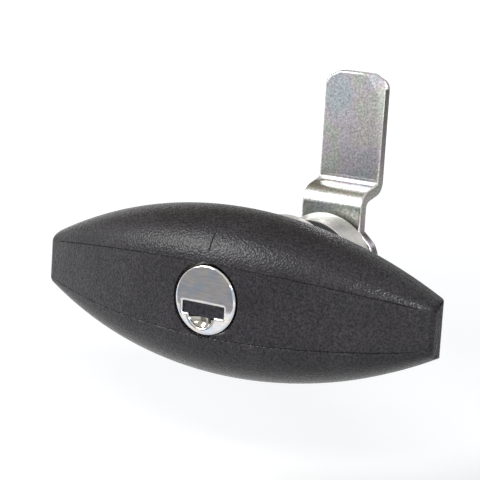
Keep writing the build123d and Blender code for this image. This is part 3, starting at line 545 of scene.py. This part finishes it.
# The cutter's profile (y, radius): it widens in front of the face, which rounds the hole's edge.
hole = np.array([(-40, 0.001), (-40, 10.0), (-33.6, 8.55), (-33.42, 8.38), (-33.25, KEY_HOLE_RADIUS),
                 (-29, KEY_HOLE_RADIUS), (-29, 0.001)])
cut(wing_front, *lathe(hole[:, 0], hole[:, 1], KEY_HOLE_STEPS))
keep_flats(wing_front)
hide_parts("wing_shell")
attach(wing_front, "handle")

# The wing's back cover: a second moulding of the same black polyamide, with the neck that turns in front of
# the flange. It closes the shell from behind, and four countersunk screws in zinc-plated steel hold it.
give("back_cover", polyamide)


def passivated_zinc(name, roughness, mottle):
    """Zinc-plated steel with a clear passivation: a grey metal with faint pink, green and blue films.

    The films drift over about 9 mm. The plating's crystals are under 0.1 mm, and they are drawn at 0.5 mm
    so that their sparkle and their small dark pits show in the picture.
    """
    material, tree, out = new_material(name)
    place = add(tree, "ShaderNodeTexCoord")
    film = add(tree, "ShaderNodeTexNoise", {"Scale": 1 / (9 * MM), "Detail": 1.5, "Distortion": 0.5},
               Vector=place.outputs["Object"])
    films = ((0.30, "#bfc6ca"), (0.42, "#cac3ca"), (0.50, "#c9c6c2"), (0.58, "#c3c8bf"), (0.70, "#c3c8ca"))
    tint = add(tree, "ShaderNodeValToRGB", {"stops": films}, Fac=film.outputs["Fac"])
    crystal = add(tree, "ShaderNodeTexNoise", {"Scale": 1 / (0.5 * MM), "Detail": 3.0, "Roughness": 0.75},
                  Vector=place.outputs["Object"])
    dark = add(tree, "ShaderNodeMapRange", {"From Min": 0.36, "From Max": 0.64, "To Min": 1 - mottle,
                                            "To Max": 1.25}, Value=crystal.outputs["Fac"])
    colour = add(tree, "ShaderNodeMix", {"data_type": "RGBA", "blend_type": "MULTIPLY", 0: 1.0},
                 in6=tint.outputs["Color"], in7=dark.outputs[0])
    bump = add(tree, "ShaderNodeBump", {"Strength": 1.0, "Distance": 0.03 * MM},
               Height=crystal.outputs["Fac"])
    skin = add(tree, "ShaderNodeBsdfPrincipled", {"Metallic": 1.0, "Roughness": roughness},
               Base_Color=colour.outputs[2], Normal=bump.outputs[0])
    tree.links.new(skin.outputs[0], out.inputs["Surface"])
    return material


screw_zinc = passivated_zinc("zinc_plated_screw_steel", 0.26, 0.15)
give("cover_screws", screw_zinc)


# The spindle: a second zinc casting, with the tube for the key cylinder, the plate that drives the wing,
# and the shaft with its square for the cam. An O-ring seals it, and a white acetal ring takes the thrust.
def natural_acetal():
    """Natural acetal: a milky white plastic with a little light inside, smooth from its mould."""
    material, tree, out = new_material("natural_acetal")
    place = add(tree, "ShaderNodeTexCoord")
    grain = add(tree, "ShaderNodeTexNoise", {"Scale": 1 / (1.5 * MM), "Detail": 2.0, "Roughness": 0.55},
                Vector=place.outputs["Object"])
    bump = add(tree, "ShaderNodeBump", {"Strength": 1.0, "Distance": 0.004 * MM}, Height=grain.outputs["Fac"])
    skin = add(tree, "ShaderNodeBsdfPrincipled", {"Base Color": linear("#dcd9d0"), "Roughness": 0.34,
                                                  "IOR": 1.48, "Subsurface Weight": 0.15,
                                                  "Subsurface Scale": 0.6 * MM}, Normal=bump.outputs[0])
    tree.links.new(skin.outputs[0], out.inputs["Surface"])
    return material


give("spindle", cast_zinc)
give("spindle_o_ring", rubber)
give("thrust_ring", natural_acetal())

# The cam: pressed from 2.5 mm strip with a joggle, then zinc plated and passivated, so it is mottled. The
# press has rolled the tongue's right edge in. Its stop disc, washer and hexagon screw are plated as well,
# and the spring washer under the screw is bare spring steel.
TONGUE_FRONT_Y = 25.4
ROLL_X = (6.1, 8.6)
ROLL_RADIUS = 6.0
ROLL_Z = (22.5, 47.0)
ROLL_FADE = 4.0


def merged_copy(node, name, material):
    """Copy of a CAD node's object with its loose triangles joined, so that it can be cut."""
    skin = bmesh.new()
    skin.from_mesh(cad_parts[node].data)
    bmesh.ops.remove_doubles(skin, verts=skin.verts, dist=1e-7)
    mesh = bpy.data.meshes.new(name)
    skin.to_mesh(mesh)
    skin.free()
    mesh.materials.clear()
    mesh.materials.append(material)
    thing = bpy.data.objects.new(name, mesh)
    bpy.context.collection.objects.link(thing)
    smooth(thing)
    return thing


def join_flats(thing):
    """Joins the triangles on each flat of a merged CAD copy, so that the flat shades evenly."""
    skin = bmesh.new()
    skin.from_mesh(thing.data)
    bmesh.ops.dissolve_limit(skin, angle_limit=np.radians(0.05), verts=skin.verts, edges=skin.edges)
    skin.to_mesh(thing.data)
    skin.free()


cam_zinc = passivated_zinc("zinc_plated_passivated_strip", 0.3, 0.4)
pressed_cam = merged_copy("cam", "pressed_cam", cam_zinc)
x, z = np.meshgrid(np.linspace(*ROLL_X, 14), np.linspace(*ROLL_Z, 30), indexing="ij")
# The cutter's rear side follows the roll, a parabola of the roll's radius that fades in above the joggle.
fade = np.clip((z - ROLL_Z[0]) / ROLL_FADE, 0, 1)
rear = TONGUE_FRONT_Y - 0.01 + fade * (x - ROLL_X[0]) ** 2 / (2 * ROLL_RADIUS)
levels = [np.stack([x, y, z], axis=2) for y in (rear, 0 * rear + TONGUE_FRONT_Y - 1)]
count = x.size
index = np.arange(count).reshape(x.shape)
rim = np.concatenate([index[:, 0], index[-1, 1:], index[-2::-1, -1], index[0, -2:0:-1]])
after = np.roll(rim, -1)
walls = np.stack([rim, after, after + count, rim + count], axis=1)
skin_faces = grid_faces(*x.shape)
faces = np.concatenate([skin_faces, skin_faces + count, walls])
cut(pressed_cam, np.concatenate(levels).reshape(-1, 3), faces)
join_flats(pressed_cam)
keep_flats(pressed_cam)
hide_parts("cam")
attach(pressed_cam, "handle")
for node in ("stop_disc", "cam_washer", "cam_screw"):
    give(node, screw_zinc)


def drawn_spring_steel():
    """Drawn spring steel: a darker grey metal, bright from the die, with a fine 0.3 mm unevenness."""
    material, tree, out = new_material("drawn_spring_steel")
    place = add(tree, "ShaderNodeTexCoord")
    grain = add(tree, "ShaderNodeTexNoise", {"Scale": 1 / (0.3 * MM), "Detail": 2.0, "Roughness": 0.55},
                Vector=place.outputs["Object"])
    bump = add(tree, "ShaderNodeBump", {"Strength": 1.0, "Distance": 0.004 * MM}, Height=grain.outputs["Fac"])
    skin = add(tree, "ShaderNodeBsdfPrincipled", {"Base Color": linear("#a2a3a6"), "Metallic": 1.0,
                                                  "Roughness": 0.28}, Normal=bump.outputs[0])
    tree.links.new(skin.outputs[0], out.inputs["Surface"])
    return material


spring_steel = drawn_spring_steel()
give("spring_washer", spring_steel)

# The key cylinder: a cast shell, pinned in the spindle's tube, round a turned plug in nickel-plated brass.
# Six sprung brass wafers block the plug, and a clip holds it in from behind.
for node in ("cylinder_shell", "bolt_driver", "lock_bolt"):
    give(node, cast_zinc)
for node in ("shell_pin", "wafer_springs", "retaining_clip", "shutter_spring"):
    give(node, spring_steel)


def turned_metal(name, code, roughness, line):
    """Turned metal: bright, with rings of tool marks round the lock axis, about as many mm apart as given.

    The real marks are under 0.1 mm apart; they are drawn wider so that they show.
    """
    material, tree, out = new_material(name)
    place = add(tree, "ShaderNodeTexCoord")
    parts = add(tree, "ShaderNodeSeparateXYZ", Vector=place.outputs["Object"])
    flat = add(tree, "ShaderNodeCombineXYZ", X=parts.outputs["X"], Y=parts.outputs["Z"])
    radius = add(tree, "ShaderNodeVectorMath", {"operation": "LENGTH"}, in0=flat.outputs[0])
    across = add(tree, "ShaderNodeCombineXYZ", X=radius.outputs["Value"], Y=parts.outputs["Y"])
    marks = add(tree, "ShaderNodeTexNoise", {"Scale": 1 / (line * MM), "Detail": 2.0},
                Vector=across.outputs[0])
    bump = add(tree, "ShaderNodeBump", {"Strength": 1.0, "Distance": 0.004 * MM}, Height=marks.outputs["Fac"])
    skin = add(tree, "ShaderNodeBsdfPrincipled", {"Base Color": linear(code), "Metallic": 1.0,
                                                  "Roughness": roughness}, Normal=bump.outputs[0])
    tree.links.new(skin.outputs[0], out.inputs["Surface"])
    return material


give("plug", turned_metal("nickel_plated_brass", "#9c9990", 0.12, 0.25))
brass = turned_metal("stamped_brass", "#c8a45e", 0.25, 0.3)
for number in range(1, 7):
    give(f"wafer_{number}", brass)


# The dust shutter behind the key slot: a small flap pressed from blackened sheet steel, which a spring
# closes. It turns on a pin of bright stainless, the metal of the key face.
def blackened_steel():
    """Blackened sheet steel: a bluish black oxide with a soft gloss and a 0.8 mm cloudiness."""
    material, tree, out = new_material("blackened_sheet_steel")
    place = add(tree, "ShaderNodeTexCoord")
    cloud = add(tree, "ShaderNodeTexNoise", {"Scale": 1 / (0.8 * MM), "Detail": 3.0},
                Vector=place.outputs["Object"])
    tone = add(tree, "ShaderNodeValToRGB", {"stops": ((0.35, "#303034"), (0.65, "#47464a"))},
               Fac=cloud.outputs["Fac"])
    skin = add(tree, "ShaderNodeBsdfPrincipled", {"Metallic": 1.0, "Roughness": 0.3},
               Base_Color=tone.outputs["Color"])
    tree.links.new(skin.outputs[0], out.inputs["Surface"])
    return material


def bright_stainless():
    """Bright-rolled stainless sheet: a nearly mirror-like grey metal with faint level rolling lines.

    The real lines are under 0.1 mm apart; they are drawn 0.3 mm apart so that they show in the picture.
    """
    material, tree, out = new_material("bright_rolled_stainless")
    place = add(tree, "ShaderNodeTexCoord")
    long = add(tree, "ShaderNodeVectorMath", {"operation": "MULTIPLY", 1: (0.1, 1.0, 1.0)},
               in0=place.outputs["Object"])
    lines = add(tree, "ShaderNodeTexNoise", {"Scale": 1 / (0.3 * MM), "Detail": 3.0, "Roughness": 0.6},
                Vector=long.outputs[0])
    cloud = add(tree, "ShaderNodeTexNoise", {"Scale": 1 / (3.0 * MM), "Detail": 2.0},
                Vector=place.outputs["Object"])
    tones = ((0.36, "#bcc3cb"), (0.5, "#c8c5c6"), (0.64, "#cdc9c2"))
    tone = add(tree, "ShaderNodeValToRGB", {"stops": tones}, Fac=cloud.outputs["Fac"])
    rolled = add(tree, "ShaderNodeMapRange", {"From Min": 0.35, "From Max": 0.65,
                                              "To Min": 0.88, "To Max": 1.08}, Value=lines.outputs["Fac"])
    colour = add(tree, "ShaderNodeMix", {"data_type": "RGBA", "blend_type": "MULTIPLY", 0: 1.0},
                 in6=tone.outputs["Color"], in7=rolled.outputs[0])
    skin = add(tree, "ShaderNodeBsdfPrincipled", {"Metallic": 1.0, "Roughness": 0.035},
               Base_Color=colour.outputs[2])
    tree.links.new(skin.outputs[0], out.inputs["Surface"])
    return material


stainless = bright_stainless()
give("dust_shutter", blackened_steel())
give("shutter_pin", stainless)

# The key face: a cap deep-drawn from 0.5 mm bright stainless sheet over the plug's head, with a rolled rim.
# The key slot and its half-round finger notch are pierced through it, and their lips are rolled in.
FACE_Y = -33.4
CAP_RADIUS = 7.8
CAP_SHEET = 0.5
CAP_DEPTH = 2.5
CAP_ROUND = 0.65
SLOT_LEFT, SLOT_RIGHT = -5.75, 4.95
SLOT_LOW, SLOT_HIGH = -3.4, -0.9
SLOT_CORNER = 0.2
NOTCH_X, NOTCH_Z, NOTCH_RADIUS = -0.8, -2.8, 3.4
LIP_WIDTH = 0.55
LIP_DEPTH = 0.42
SLOT_MIDDLE = np.array([-0.4, -2.3])
FACE_SHARES = (0.02, *np.linspace(0, 1, 9)[1:])


def slot_outline(grow):
    """Outline (x, z) of the key slot and its notch, offset outwards by grow, always with the same count.

    Its corners are arcs, centre + radius (cos a, sin a), joined by straight runs.
    """
    corner = SLOT_CORNER + grow
    reach = NOTCH_RADIUS + grow
    meet = np.degrees(np.arcsin((SLOT_LOW - grow - NOTCH_Z) / reach))
    left, right = SLOT_LEFT + SLOT_CORNER, SLOT_RIGHT - SLOT_CORNER
    low, high = SLOT_LOW + SLOT_CORNER, SLOT_HIGH - SLOT_CORNER
    arcs = []
    for x, z, radius, start, end, count in (
        (right, high, corner, 0, 90, 9),
        (left, high, corner, 90, 180, 9),
        (left, low, corner, 180, 270, 9),
        (NOTCH_X, NOTCH_Z, reach, 180 - meet, 360 + meet, 61),
        (right, low, corner, 270, 360, 9),
    ):
        angle = np.radians(np.linspace(start, end, count))
        arcs.append(np.stack([x + radius * np.cos(angle), z + radius * np.sin(angle)], axis=1))
    share = np.linspace(0, 1, 26)[1:-1, None]
    runs = [a[-1] + (b[0] - a[-1]) * share for a, b in zip(arcs, arcs[1:] + arcs[:1])]
    return np.concatenate([part for pair in zip(arcs, runs) for part in pair])


def on_circle(radius):
    """Points (x, z) where rays from the slot's middle through its outline meet a circle on the axis.

    A ray middle + s d, with d of length 1, meets it where s = -m.d + sqrt((m.d)^2 + r^2 - m.m).
    """
    ray = slot_outline(LIP_WIDTH) - SLOT_MIDDLE
    ray /= np.linalg.norm(ray, axis=1, keepdims=True)
    along = (ray * SLOT_MIDDLE).sum(axis=1, keepdims=True)
    return SLOT_MIDDLE + ray * (np.sqrt(along**2 + radius**2 - (SLOT_MIDDLE**2).sum()) - along)


# Rings of points, each an outline (x, z) at its y: the rolled lip from the slot outwards, the flat face with
# its first ring close to the lip, the rolled rim, the skirt out and back in, and the slot's rear edge.
turn = np.radians(np.linspace(0, 90, 13))
lip = [(slot_outline(LIP_WIDTH * (1 - np.cos(a))), FACE_Y + LIP_DEPTH * (1 - np.sin(a))) for a in turn]
edge = on_circle(CAP_RADIUS - CAP_ROUND)
face = [(lip[-1][0] + (edge - lip[-1][0]) * share, FACE_Y) for share in FACE_SHARES]
rim = [(on_circle(CAP_RADIUS - CAP_ROUND * (1 - np.sin(a))), FACE_Y + CAP_ROUND * (1 - np.cos(a)))
       for a in turn[1:]]
skirt = [(on_circle(radius), y) for radius, y in (
    (CAP_RADIUS, FACE_Y + CAP_DEPTH),
    (CAP_RADIUS - CAP_SHEET, FACE_Y + CAP_DEPTH),
    (CAP_RADIUS - CAP_SHEET, FACE_Y + CAP_SHEET),
)]
outlines = [*lip, *face, *rim, *skirt, (slot_outline(0.0), FACE_Y + CAP_SHEET)]
rings = [np.stack([line[:, 0], 0 * line[:, 0] + y, line[:, 1]], axis=1) for line, y in outlines]
rings.append(rings[0])
faces = grid_faces(len(rings), len(rings[0]), closed=True)
key_face_cap = piece("key_face_cap", np.concatenate(rings), faces, stainless)
keep_flats(key_face_cap)
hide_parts("face_cap")
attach(key_face_cap, "key_plug")
